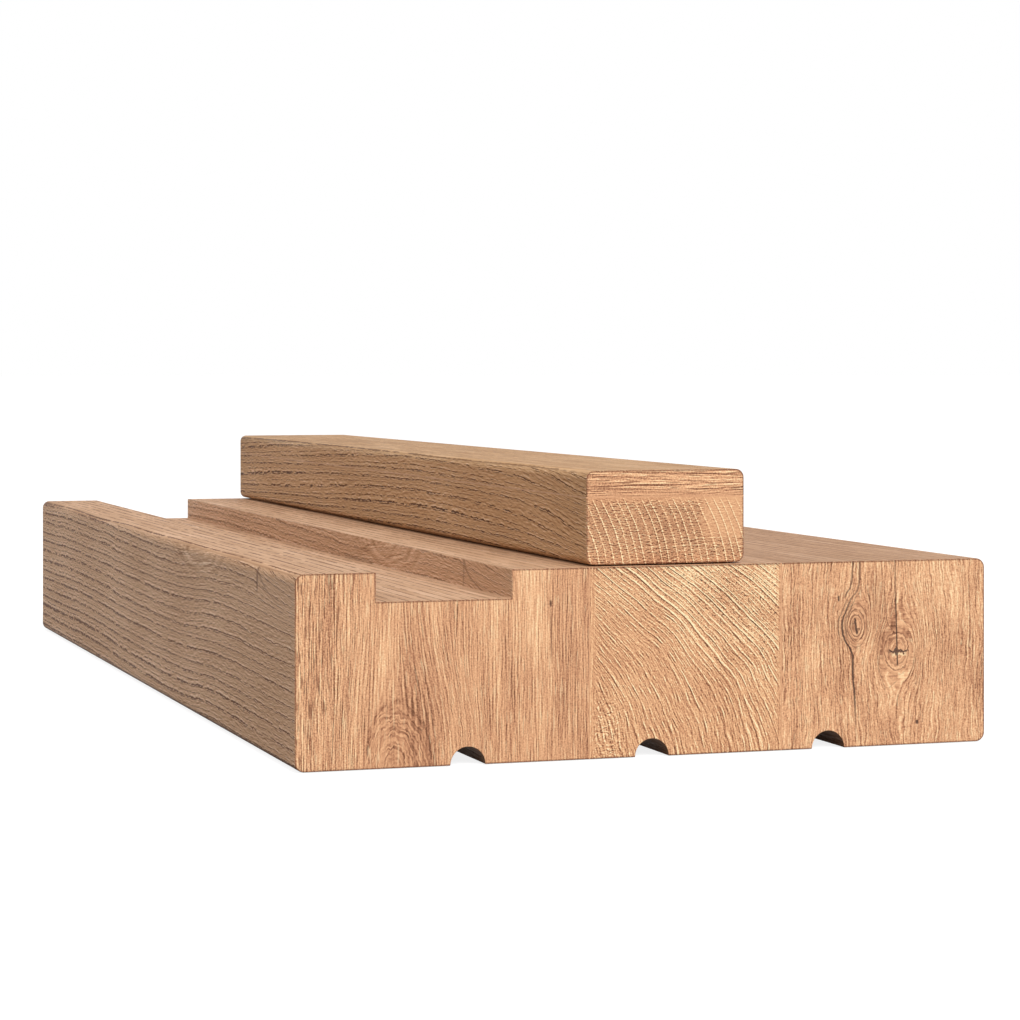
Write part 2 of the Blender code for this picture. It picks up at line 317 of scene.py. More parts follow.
# %% A material under construction
class Surface:
    """A material and the nodes that draw it."""

    def __init__(self, name):
        self.material = bpy.data.materials.new(name)
        self.material.use_nodes = True
        self.tree = self.material.node_tree
        self.shader = self.tree.nodes["Principled BSDF"]

    def node(self, kind, **settings):
        made = self.tree.nodes.new(kind)
        for key, value in settings.items():
            setattr(made, key, value)
        return made

    def feed(self, socket, value):
        if isinstance(value, Grain):
            self.tree.links.new(value.socket, socket)
        else:
            socket.default_value = value

    def math(self, operation, *values):
        node = self.node("ShaderNodeMath", operation=operation)
        for place, value in enumerate(values):
            self.feed(node.inputs[place], value)
        return Grain(self, node.outputs[0])

    def vector(self, *values):
        node = self.node("ShaderNodeCombineXYZ")
        for place, value in enumerate(values):
            self.feed(node.inputs[place], value)
        return Grain(self, node.outputs[0])

    def place(self):
        """X, Y and Z in millimetres from the front weather corner of the underside."""
        spot = self.node("ShaderNodeTexCoord").outputs["Object"]
        scaled = self.node("ShaderNodeVectorMath", operation="MULTIPLY_ADD")
        self.tree.links.new(spot, scaled.inputs[0])
        scaled.inputs[1].default_value = (MM, MM, MM)
        scaled.inputs[2].default_value = sill_low * -MM
        parts = self.node("ShaderNodeSeparateXYZ")
        self.tree.links.new(scaled.outputs[0], parts.inputs[0])
        return [Grain(self, output) for output in parts.outputs]

    def facing(self, axis):
        """How far a face looks along an axis, whichever way."""
        parts = self.node("ShaderNodeSeparateXYZ")
        self.tree.links.new(self.node("ShaderNodeNewGeometry").outputs["Normal"], parts.inputs[0])
        return Grain(self, parts.outputs[axis]).size()

    def noise(self, x, y, z, detail=2.0, rough=0.5):
        node = self.node("ShaderNodeTexNoise")
        self.feed(node.inputs["Vector"], self.vector(x, y, z))
        node.inputs["Scale"].default_value = 1.0
        node.inputs["Detail"].default_value = detail
        node.inputs["Roughness"].default_value = rough
        return Grain(self, node.outputs[0])

    def ridges(self, across, along, seed, step=0.6):
        """Noise less its own neighbour, about 0: thin light and dark lines with no broad patches."""
        return self.noise(across, along, seed, 1.0) - self.noise(across + step, along, seed, 1.0)

    def chance(self, *places):
        """A value from 0 to 1 that has nothing to do with its neighbours'. Whole places make cells."""
        node = self.node("ShaderNodeTexWhiteNoise", noise_dimensions="3D")
        self.feed(node.inputs["Vector"], self.vector(*places))
        return Grain(self, node.outputs["Value"])

    def curve(self, value, *points):
        """A smooth path through points, each a place and what it becomes there, in millimetres."""
        first, last = points[0][0], points[-1][0]
        low, high = min(b for a, b in points), max(b for a, b in points)
        node = self.node("ShaderNodeFloatCurve")
        self.feed(node.inputs["Value"], (value - first) / (last - first))
        spots = node.mapping.curves[0].points
        while len(spots) < len(points):
            spots.new(0.5, 0.5)
        for spot, (a, b) in zip(spots, points):
            spot.location = ((a - first) / (last - first), (b - low) / (high - low))
        node.mapping.update()
        return Grain(self, node.outputs[0]) * (high - low) + low

    def ramp(self, value, *stops):
        node = self.node("ShaderNodeValToRGB")
        self.feed(node.inputs[0], value)
        points = node.color_ramp.elements
        while len(points) < len(stops):
            points.new(0.5)
        for point, (spot, colour) in zip(points, stops):
            point.position, point.color = spot, (*colour, 1.0)
        return Grain(self, node.outputs[0])

    def blend(self, share, first, second):
        node = self.node("ShaderNodeMix", data_type="RGBA")
        self.feed(node.inputs[0], share)
        for socket, colour in zip((node.inputs[6], node.inputs[7]), (first, second)):
            self.feed(socket, colour if isinstance(colour, Grain) else (*colour, 1.0))
        return Grain(self, node.outputs[2])

    def painted_edge_shade(self, colour, along, gap):
        """Painted shade: a dark rim along the edge of an end, in ticks. The gap is the distance to the edge
        in millimetres.
        """
        ticks = self.noise(along / 0.4, 0.0, 40.0, 1.0).rise(0.35, 0.6) * 0.45 + 0.55
        return self.blend((1 - gap.rise(0.14, 0.46)) * ticks * 0.85, colour, rgb(104, 60, 42))

    def finish(self, colour, roughness, height, depth=0.00025, specular=0.2):
        self.feed(self.shader.inputs["Base Color"], colour)
        self.feed(self.shader.inputs["Roughness"], roughness)
        self.shader.inputs["Specular IOR Level"].default_value = specular
        bump = self.node("ShaderNodeBump")
        bump.inputs["Strength"].default_value = 0.5
        bump.inputs["Distance"].default_value = depth
        self.feed(bump.inputs["Height"], height)
        self.tree.links.new(bump.outputs[0], self.shader.inputs["Normal"])
        print(self.material.name, "nodes:", len(self.tree.nodes))
        return self.material


def linear(channel):
    """A channel of a colour, as a paint program shows it, in the linear value that a shader takes."""
    share = channel / 255
    return share / 12.92 if channel < 11 else ((share + 0.055) / 1.055) ** 2.4


def rgb(red, green, blue):
    return linear(red), linear(green), linear(blue)

# %% [markdown]
# ## Ends with upright streaks
#
# The ends of the two outer planks show fine upright streaks, from pale straw to brown. A streak is noise
# that is squeezed across and drawn out along the grain: short threads, long threads and broad bands, with a
# fine speck over them. Noise never repeats, as a tiled picture of wood would. A dark rim of painted shade
# lines each end's edge, so each end also needs the distance from a place to its outline.

# %% Upright streaks
STREAK_STOPS = (
    (0.0, rgb(118, 78, 56)),
    (0.25, rgb(176, 124, 92)),
    (0.5, rgb(215, 161, 121)),
    (0.75, rgb(240, 188, 143)),
    (1.0, rgb(255, 222, 174)),
)


def streaks(oak, across, along, seed, length=1.0):
    """Short and long threads and bands of light and dark as one value about a half."""
    short = oak.ridges(across / 0.34, along / (2.2 * length), seed)
    long = oak.ridges(across / 0.38, along / (12 * length), seed + 4.1)
    band = oak.noise(across / 2.2, along / (20 * length), seed + 7.3, 2.0)
    speck = oak.noise(across / 0.34, along / 0.36, seed + 9.4, 1.0)
    return short * 0.65 + long * 1.05 + band * 0.42 + speck * 0.75 - 0.075


def oval(x, z, middle, wide, tall):
    """The distance from a middle, 1 on an oval of half width wide and half height tall."""
    dx, dz = (x - middle[0]) / wide, (z - middle[1]) / tall
    return (dx * dx + dz * dz).root()


def inside_box(x, z, low, high, radius):
    """How far a place is inside a box with round corners."""
    dx = (x - (low[0] + high[0]) / 2).size() - ((high[0] - low[0]) / 2 - radius)
    dz = (z - (low[1] + high[1]) / 2).size() - ((high[1] - low[1]) / 2 - radius)
    out_x, out_z = dx.most(0.0), dz.most(0.0)
    return radius - (out_x * out_x + out_z * out_z).root() - dx.most(dz).least(0.0)


def end_corners(first, last):
    """The low corner of one solid and the high one of another, across and up an end in millimetres."""
    low, high = (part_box(first)[0] - sill_low) * MM, (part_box(last)[1] - sill_low) * MM
    return (low.x, low.z), (high.x, high.z)


SILL_END = end_corners("weather_lamella", "room_lamella")
BATTEN_END = end_corners("batten_body", "batten_cap")
print("sill's end:", SILL_END, "batten's end:", BATTEN_END)


def sill_gap(x, z):
    return inside_box(x, z, *SILL_END, EDGE_RADIUS * MM)


def batten_gap(x, z):
    return inside_box(x, z, *BATTEN_END, BATTEN_RADIUS * MM)

# %% [markdown]
# ## The end with an arch
#
# Low on the weather plank the streaks close into arches, where a branch grew out below, and a brown flame
# rises beside them. There the noise follows an oval coordinate instead of the height, so that its lines
# bend round. Thin dark lines and bright threads lie over the streaks. Places are in millimetres, across and
# up.

# %% The weather plank's end
ARCH, FLAME, PALE_EYE, PINHOLE = (20.5, 0.0), (27.3, 12.0), (18.8, 23.0), (54.6, 32.7)
GROOVE_HALF = GROOVE_WIDTH / 2 * MM
GROOVE_MIDDLE = GROOVE_INSET * MM + GROOVE_HALF
GROOVE_FLOOR = SILL_END[1][1] - GROOVE_DEPTH * MM


def end_of_weather_plank():
    oak = Surface("oak_end_weather")
    x, _, z = oak.place()
    wander = oak.noise(x / 9, z / 30, 3.0) - 0.5
    ruffle = oak.noise(x / 1.6, z / 6, 8.0) - 0.5
    crumb = oak.noise(x / 0.8, z / 1.2, 12.0, 2.0) - 0.5
    lean = x - ARCH[0]
    arch = oval(x, z, ARCH, lean.rise(-2.0, 2.0) * 3.0 + 5.6, 13.6) + ruffle * 0.2 + crumb * 0.12
    inside = 1 - arch.rise(0.8, 1.25)
    pull = lean * (1 - arch.rise(0.8, 2.6)) * (lean.rise(0, 4) * 0.15 + 0.28)
    across = x + wander * 0.6 + ruffle * 0.1 - pull
    arcs = oak.ridges(arch * 20, (x + z) / 3, 2.0) * 1.5 + 0.47 + crumb * 0.4
    tone = (streaks(oak, across, z, 1.7) - 0.5) * (1.2 - x.rise(8, 18) * 0.32) + 0.5
    tone = tone * (1 - inside * 0.6) + arcs * inside * 0.6
    patch = oak.noise(x / 4.5, z / 30, 9.2, 2.0) - 0.5
    flame = 1 - oval(x, z, FLAME, 4.2, 21.0).rise(0.1, 1.2)
    pale = x.rise(45, 48) * (1 - x.rise(52, 56)) * z.rise(14, 28)
    pale = pale + (1 - oval(x, z, PALE_EYE, 2.2, 6.5).rise(0.2, 1.0)) * 0.7
    hoops = arch.line(0.98, 0.10, 1.0) * (1.0 - lean.rise(-5, 0) * 0.55)
    hoops = hoops + arch.line(0.58, 0.06, 1.0) * 0.5 + arch.line(0.3, 0.06, 1.0) * 0.5
    hoops = hoops * oak.noise(x / 1.4, z / 1.8, 6.6, 1.0).rise(0.36, 0.56)
    tone = tone + patch * 0.48 - hoops * 0.30 - flame * 0.17 - inside * 0.05
    tone = tone + pale * 0.14 - x.rise(53, 58) * 0.08
    colour = oak.ramp(tone, *STREAK_STOPS)
    left = 1 - (x - z * 0.2).rise(0, 9)
    lines = oak.noise(across / 0.34, z / 5, 36.0, 1.0).rise(0.57, 0.67)
    lines = lines * (left * 0.65 + 0.16) * (1 - inside * 0.6)
    below_pin = (x + ruffle * 0.8).line(54.7, 0.26) * z.line(26, 7) * 0.5
    pin = 1 - oval(x, z, PINHOLE, 0.36, 1.0).rise(0.3, 1.0) + below_pin
    colour = oak.blend(lines, colour, rgb(124, 80, 58))
    threads = oak.noise(across / 0.32, z / 6, 51.0, 1.0).rise(0.60, 0.68) * 0.4
    colour = oak.blend(threads, colour, rgb(255, 224, 178))
    colour = oak.blend(pin.least(0.85), colour, rgb(84, 52, 40))
    beside, under = ((x - GROOVE_MIDDLE).size() - GROOVE_HALF).most(0.0), (GROOVE_FLOOR - z).most(0.0)
    gap = sill_gap(x, z).least((beside * beside + under * under).root())
    colour = oak.painted_edge_shade(colour, x + z, gap)
    return oak.finish(colour, 0.80 - tone * 0.25, tone - lines - pin)

# %% [markdown]
# ## The end with knots
#
# The room-side plank carries two knots. Streaks part round a knot as water parts round a post, so the
# formula for that flow shifts the place across the grain. Inside a knot the pattern turns into fine rings
# round a split heart, with a few dark contours about it. A dark line wanders past the first knot on a path
# of its own, a smooth curve through a few points, and a drying check runs down from the top edge into the
# second. A little noise frays them.

# %% Knots, checks and a wandering line
def round_a_post(x, z, across, middle, radius, tall):
    """Shifts the place across the grain so that streaks flow round a knot."""
    dx, dz = x - middle[0], (z - middle[1]) / tall
    return across - dx * radius * radius / (dx * dx + dz * dz).most(radius * radius)


def stroke(x, z, path, fray, width, start, end):
    """A thin line along a path that comes in over one stretch of the height and goes out over another."""
    return (x - path + fray).line(0.0, width) * z.rise(*start) * (1 - z.rise(*end))


def knot_contours(oak, x, z, jag, first, second):
    """Dark contours about both knots, broken up by noise."""
    contours = first.line(0.68, 0.07) * 0.65 + first.line(1.0, 0.08) * 0.75 + first.line(1.34, 0.07) * 0.45
    contours = contours + second.line(0.7, 0.05) * 0.45 + second.line(0.98, 0.05) * 0.5
    contours = contours + second.line(1.24, 0.04) * 0.3
    loop = oak.curve(z, (24.3, 133.6), (25.2, 132.6), (26.8, 131.6), (32.1, 131.0), (38.0, 130.5))
    tail = oak.curve(z, (11.8, 131.3), (14.5, 130.3), (17.6, 129.5), (24.0, 129.4))
    heel = oak.curve(z, (11.8, 131.3), (13.2, 133.0), (14.6, 135.0))
    contours = contours + stroke(x, z, loop, jag * 0.3, 0.22, (24.4, 25.2), (30, 37)) * 0.55
    contours = contours + stroke(x, z, tail, jag * 0.4, 0.24, (11.8, 12.4), (17, 23)) * 0.5
    contours = contours + stroke(x, z, heel, jag * 0.4, 0.3, (11.8, 12.4), (13.6, 14.8)) * 0.4
    return contours * (oak.noise(x / 1.1, z / 1.1, 19.0, 1.0).rise(0.3, 0.5) * 0.7 + 0.3)


def wandering_line(oak, x, z, jag):
    """A dark line past the first knot, a strand that joins it above and a faint line on each side of it."""
    path = oak.curve(
        z, (0.0, 124.2), (11.6, 123.8), (16.3, 123.4), (19.0, 123.4), (20.9, 122.9), (23.4, 121.4),
        (26.2, 120.9), (28.9, 121.7), (32.0, 123.1), (35.3, 124.9), (40.0, 125.1),
    )
    strand = oak.curve(z, (31.5, 121.2), (32.6, 121.7), (35.4, 123.1), (40.0, 123.4))
    trail = (x - path + jag * 0.35).line(0.0, 0.3) * (z.rise(0, 13) * 0.9) * (1 - z.rise(28, 33) * 0.35)
    trail = trail + (x - strand + jag * 0.4).line(0.0, 0.26) * z.rise(31.6, 33) * 0.7
    beside = (x - path + jag * 0.5).size().line(0.9, 0.22) * z.rise(22, 25) * (1 - z.rise(30, 35))
    return trail + beside * 0.55


def split_hearts(x, z, jag):
    """The cracks in the middle of both knots, and the drying check above the second."""
    heart = (x + z * 0.16 + jag * 0.6).line(128.3, 0.30) * z.line(25.95, 2.0, 0.3)
    heart = heart + (z + jag * 2).line(25.3, 0.26) * x.line(124.6, 0.6, 0.3) * 0.6
    heart = heart + (z + jag * 2).line(26.7, 0.26) * x.line(123.8, 0.6, 0.3) * 0.5
    heart = heart + x.line(120.1, 0.26) * z.line(32.0, 0.8)
    star = (z + jag * 2.6).line(20.3, 0.42) * x.line(134.2, 2.6, 0.3)
    star = star + (1 - oval(x, z, (133.75, 20.3), 0.6, 1.1).rise(0.5, 1))
    check = (x + z * 0.028 + jag * 0.1).line(134.5, 0.21) * z.rise(16.8, 17.6) * (1 - z.rise(30.5, 33) * 0.5)
    return heart + star + check

# %% The room plank's end
FIRST_KNOT, SECOND_KNOT, SECOND_POST = (124.2, 26.1), (133.8, 20.3), (133.8, 20.0)


def end_of_room_plank():
    oak = Surface("oak_end_room")
    x, _, z = oak.place()
    wander = oak.noise(x / 7, z / 17, 5.0) - 0.5
    ruffle = oak.noise(x / 1.8, z / 4, 8.0) - 0.5
    jag = oak.noise(x / 0.9, z / 0.9, 12.0, 2.0) - 0.5
    first = oval(x, z, FIRST_KNOT, 2.0, 3.4) + ruffle * 0.2 + jag * 0.2
    second = oval(x, z, SECOND_KNOT, 2.9, 4.2) + ruffle * 0.24 + jag * 0.24
    flow = round_a_post(x, z, x, FIRST_KNOT, 2.5, 1.6)
    flow = round_a_post(x, z, flow, SECOND_POST, 4.0, 1.7)
    across = flow + wander * 2.6 + ruffle
    in_first, in_second = 1 - first.rise(1.0, 1.5), 1 - second.rise(1.0, 1.35)
    tone = streaks(oak, across, z, 6.4, 0.7)
    for far, share, seed in ((first, in_first, 2.0), (second, in_second, 3.0)):
        rings = oak.ridges(far * 6.5 + jag * 0.7, (x + z) / 3, seed) + 0.5 + jag * 0.3
        tone = tone * (1 - share) + rings * share
    patch = oak.noise(x / 6, z / 16, 4.4, 2.0) - 0.5
    paler = x.rise(134, 146) * z.rise(10, 30) * 0.07 + (1 - x.rise(114, 121)) * 0.03
    tone = tone + patch * 0.8 + paler + jag * 0.4
    contours = knot_contours(oak, x, z, jag, first, second)
    pin = x.line(138.7, 0.4) * z.line(4.8, 0.55)
    cracks = (split_hearts(x, z, jag) + wandering_line(oak, x, z, jag) + pin).least(0.9)
    brown = 1 - oval(x, z, (123.4, 26.0), 0.9, 1.7).rise(0.5, 1.1)
    brown = brown + (1 - oval(x, z, (128.8, 33.0), 2.6, 8.0).rise(0.2, 1.1)) * 0.5
    chips = (z + jag * 2.6).line(19.6, 0.36) * x.line(134.4, 2.1, 0.4)
    outside = (1 - in_first) * (1 - in_second)
    lines = oak.noise(across / 0.34, z / 4, 35.0, 1.0).rise(0.60, 0.68) * 0.24 * outside
    threads = oak.noise(across / 0.32, z / 4, 55.0, 1.0).rise(0.60, 0.68) * 0.4 * outside
    colour = oak.ramp(tone, *STREAK_STOPS)
    colour = oak.blend(lines, colour, rgb(128, 84, 60))
    colour = oak.blend(threads, colour, rgb(255, 224, 178))
    colour = oak.blend(brown * 0.4, colour, rgb(132, 88, 64))
    colour = oak.blend(contours, colour, rgb(110, 72, 54))
    colour = oak.blend(chips, colour, rgb(246, 212, 166))
    colour = oak.blend(cracks, colour, rgb(70, 50, 44))
    colour = oak.painted_edge_shade(colour, x + z, sill_gap(x, z))
    return oak.finish(colour, 0.80 - tone * 0.25, tone - lines - contours * 0.3 - cracks * 1.5)

# %% [markdown]
# ## End grain with growth rings
#
# The middle plank was sawn with its rings in the end. Each of oak's rings has a bright thin line of late
# wood beside a row of open pores. The lines run down from the upper left and steepen, so a line keeps one
# value of x plus a square of z. Towards the two glue joints the rings give way to upright streaks like the
# neighbours'.

# %% Growth rings
RING_STOPS = (
    (0.0, rgb(112, 72, 50)),
    (0.25, rgb(178, 124, 90)),
    (0.5, rgb(217, 163, 122)),
    (0.75, rgb(243, 194, 146)),
    (1.0, rgb(255, 236, 190)),
)
WEATHER_SEAM, ROOM_SEAM = ((place - sill_low.x) * MM for place in (weather_joint, room_joint))


def ring_lines(oak, ring, seed, width):
    """The bright line in each ring, the dark one behind it, which is painted shadow, and the place within the
    ring.
    """
    part = ring.part()
    strength = oak.noise(ring.whole() * 7.7, seed, 0.0, 0.0).rise(0.34, 0.60) * 0.75 + 0.25
    return part.line(0.5, width, 0.7) * strength, part.line(0.5 - width * 1.5, width, 0.7) * strength, part


def end_of_core_plank():
    oak = Surface("oak_end_core")
    x, _, z = oak.place()
    bend = oak.noise(x / 13, z / 13, 2.5, 1.0) - 0.5
    ripple = oak.noise(x / 1.9, z / 1.9, 5.5, 2.0) - 0.5
    flow = x + z * 0.12 + z * z * 0.016 + bend * 3.0 + ripple * 0.36
    ring = flow / 1.55 + (oak.noise(flow / 4.2, 3.0, 0.0, 1.0) - 0.5) * 1.6
    bright, dark, part = ring_lines(oak, ring, 3.3, 0.16)
    upper = (x * 0.55 + z).rise(62, 88)
    dots = oak.noise(x / 0.5, z / 0.5, 7.0, 1.0) * 0.8 + oak.noise(x / 3, z / 3, 8.0) * 0.2
    in_row = part.line(0.12, 0.30).most(part.line(1.12, 0.30)) * 0.8 + 0.2
    pores = dots.rise(0.56, 0.66) * in_row * (upper * 0.75 + 0.35)
    speck = oak.noise(x / 0.34, z / 0.34, 11.0, 1.0) - 0.5
    grain = oak.ridges(flow / 0.42, (x - z) / 3.2, 4.0)
    patch = oak.noise(x / 9, z / 9, 14.0, 2.0) - 0.5
    corner = (1 - (x - WEATHER_SEAM).rise(4, 11)) * (1 - z.rise(9, 18))
    worms = oak.ridges((z + ripple * 2.4) / 0.36, x, 17.0) * corner
    edge = (x - WEATHER_SEAM).rise(0.1, 2.3) * (ROOM_SEAM - x).rise(0.0, 1.6)
    upright = streaks(oak, x + ripple * 0.3, z, 22.0)
    # The dark line behind each bright one is painted shadow, as if the bright line stood proud.
    lines = (bright * 0.55 - dark * 0.45) * (1 - corner * 0.5) * (upper * 0.8 + 0.55)
    tone = 0.50 + speck * (upper * 0.7 + 0.9) + grain * 1.2 + patch * (upper * 0.4 + 0.3)
    tone = tone + upper * 0.14 + lines + worms * 1.2
    tone = tone * edge + upright * (1 - edge)
    colour = oak.ramp(tone, *RING_STOPS)
    colour = oak.blend(pores * edge * (upper * 0.2 + 0.7), colour, rgb(104, 74, 56))
    colour = oak.painted_edge_shade(colour, x, sill_gap(x, z))
    return oak.finish(colour, 0.84 - tone * 0.25, tone - pores)

# %% [markdown]
# ## The batten's two ends
#
# The batten's body has steeper rings, with fine rungs of cut pores between them and pale rays that cross
# them low down. Its cap was sawn the other way, so the cap's end shows level streaks: the same noise as on
# the upright ones, with across and along changed over.

# %% The ends of the body and the cap
def end_of_batten_body():
    oak = Surface("oak_end_batten")
    x, _, z = oak.place()
    left, base = x - BATTEN_END[0][0], z - BATTEN_END[0][1]
    bend = oak.noise(x / 9, z / 9, 2.9, 1.0) - 0.5
    ripple = oak.noise(x / 1.2, z / 1.2, 6.5, 2.0) - 0.5
    flow = left + base * 0.15 + base * base * 0.015 + bend * 0.9 + ripple * 0.18
    ring = flow / 1.8 + (oak.noise(flow / 5, 7.0, 0.0, 1.0) - 0.5) * 0.9
    bright, dark, part = ring_lines(oak, ring, 8.3, 0.10)
    bright = bright.most(part.line(0.5, 0.09, 0.7) * 0.65)
    plain = left.rise(24, 28) * base.rise(3, 7)
    rungs = oak.ridges((base + ripple * 0.6) / 0.30, flow / 1.1, 9.0) + 0.5
    mottle = oak.noise(x / 0.32, z / 0.32, 13.0, 1.0)
    dashes = (rungs * 0.75 + mottle * 0.25).rise(0.48, 0.60) * part.line(0.0, 0.44).most(part.line(1.0, 0.44))
    dashes = dashes * (1 - plain * 0.9) * (1 - base.rise(11.8, 13.6))
    dashes = dashes * (oak.noise(x / 5, z / 5, 3.0).rise(0.3, 0.6) * 0.6 + 0.4)
    shelf = base - left * 0.03 + ripple * 0.4
    bars = shelf.line(3.1, 0.2) + shelf.line(2.1, 0.17) * 0.8
    bars = (bars + shelf.line(4.5, 0.17) * 0.7 + shelf.line(5.3, 0.15) * 0.5) * left.rise(6, 14)
    shade = 1 - oval(left, base, (17.0, 4.5), 12.0, 8.0).rise(0.3, 1.1)
    patch = oak.noise(x / 7, z / 7, 16.0, 2.0) - 0.5
    fade = 1 - base.rise(12.4, 14.2) * 0.75
    rough = (mottle - 0.5) * 1.3 + (rungs - 0.5) * 1.5
    tone = 0.47 + rough * (1 - plain * 0.6) * fade + patch * 0.35 + plain * 0.06 - shade * 0.11
    # The dark line behind each bright one is painted shadow, as if the bright line stood proud.
    tone = tone + (bright * 0.48 - dark * 0.2) * (1 - plain * 0.3) * fade + bars * 0.2
    colour = oak.ramp(tone, *RING_STOPS)
    colour = oak.blend(dashes * 0.5 * (1 - bright), colour, rgb(140, 92, 68))
    colour = oak.painted_edge_shade(colour, x + z, batten_gap(x, z))
    return oak.finish(colour, 0.84 - tone * 0.25, tone - dashes * 0.6)


def end_of_batten_cap():
    oak = Surface("oak_end_cap")
    x, _, z = oak.place()
    wander = oak.noise(x / 16, z / 5, 4.0) - 0.5
    level = z + wander * 0.7
    tone = streaks(oak, level, x, 15.7, 1.3)
    low = 1 - z.rise(54.6, 56.4)
    lines = oak.noise(level / 0.34, x / 5, 21.0, 1.0).rise(0.58, 0.68) * (1 - low * 0.6) * 0.5
    colour = oak.ramp((tone - 0.5) * (1.35 - low * 0.55) + 0.50, *STREAK_STOPS)
    colour = oak.blend(lines, colour, rgb(120, 76, 54))
    colour = oak.painted_edge_shade(colour, x + z, batten_gap(x, z))
    return oak.finish(colour, 0.80 - tone * 0.25, tone - lines)

# %% [markdown]
# ## Long grain
#
# Along its sides and top oak shows rows of dark dashes. Each is an open pore that the plane has cut along
# its length, and the rows are the growth rings seen from the side. A ring coordinate bends slowly along the
# plank. Each ring has a beaded row of pores that swells and thins, with a pale lip of painted highlight
# beside it and hair-fine streaks between. Sides take their rows from the height, and tops take wider ones
# from the place across. A wave, a smooth curve along the plank, lifts and lowers the side's rows. At the top
# edge of the weather side lies a knot seen edge on, with few pores, a whorl and a short split. Painted shade
# darkens the inside of the relief grooves and the foot of the sill.

# %% Rows of pores along the planks
def pore_rows(oak, level, along, seed, pitch, length, thick, gaps=0.36):
    """In each ring a row of cut pores, a beaded line that swells and thins, and the pale lip beside it, a
    painted highlight.
    """
    ring = level / pitch + (oak.noise(level / 1.5, along / 2.4, seed, 1.0) - 0.5) * 0.2
    number = ring.whole()
    swell = oak.noise(along / length, number * 5.3, seed, 2.0, 0.6).rise(gaps, gaps + 0.16)
    beads = oak.noise(along / 1.6, number * 3.1, seed + 1, 1.0).rise(0.36, 0.6) * 0.6 + 0.4
    swell = swell * beads * (oak.chance(number, seed, 0.0) * 0.4 + 0.55)
    body, wide = ring.part() - 0.5, swell * thick + 0.004
    dark = (1 - body.size().rise(wide * 0.4, wide)) * swell.rise(0.0, 0.3)
    return dark, (body - thick * 1.4).line(0.0, thick) * swell

# %% A knot and a split at the top edge
TOP_KNOT = (95, 40.5)
SILL_TOP = SILL_END[1][1]


def knot_at_the_edge(oak, y, z, ripple, seed):
    """How calm the rows are about the knot, and the whorl and smudge that shade it."""
    knot = oval(y, z, TOP_KNOT, 34, 9)
    whorl = oak.ridges(knot * 7 + ripple * 2, y / 14, seed + 3) * 1.1
    smudge = (z + y * 0.2 + ripple * 2).line(60.1, 1.5, 1.0) * y.line(115, 12, 0.5)
    return 1 - knot.rise(0.5, 1.1), whorl - smudge * 0.3


def short_split(y, z, ripple, weight):
    """A split that runs down from the top edge, and the vein beside it."""
    drop = SILL_TOP - z
    split = (y + ripple * 3 + z * 0.12).line(37.5, 1.0, 0.7) * z.rise(33.0, 35.5)
    vein = (y + drop * drop * 0.35 + ripple * 3).line(33.0, 1.3, 1.0) * z.rise(31, 34) * 0.5
    return (split * weight).most(vein)

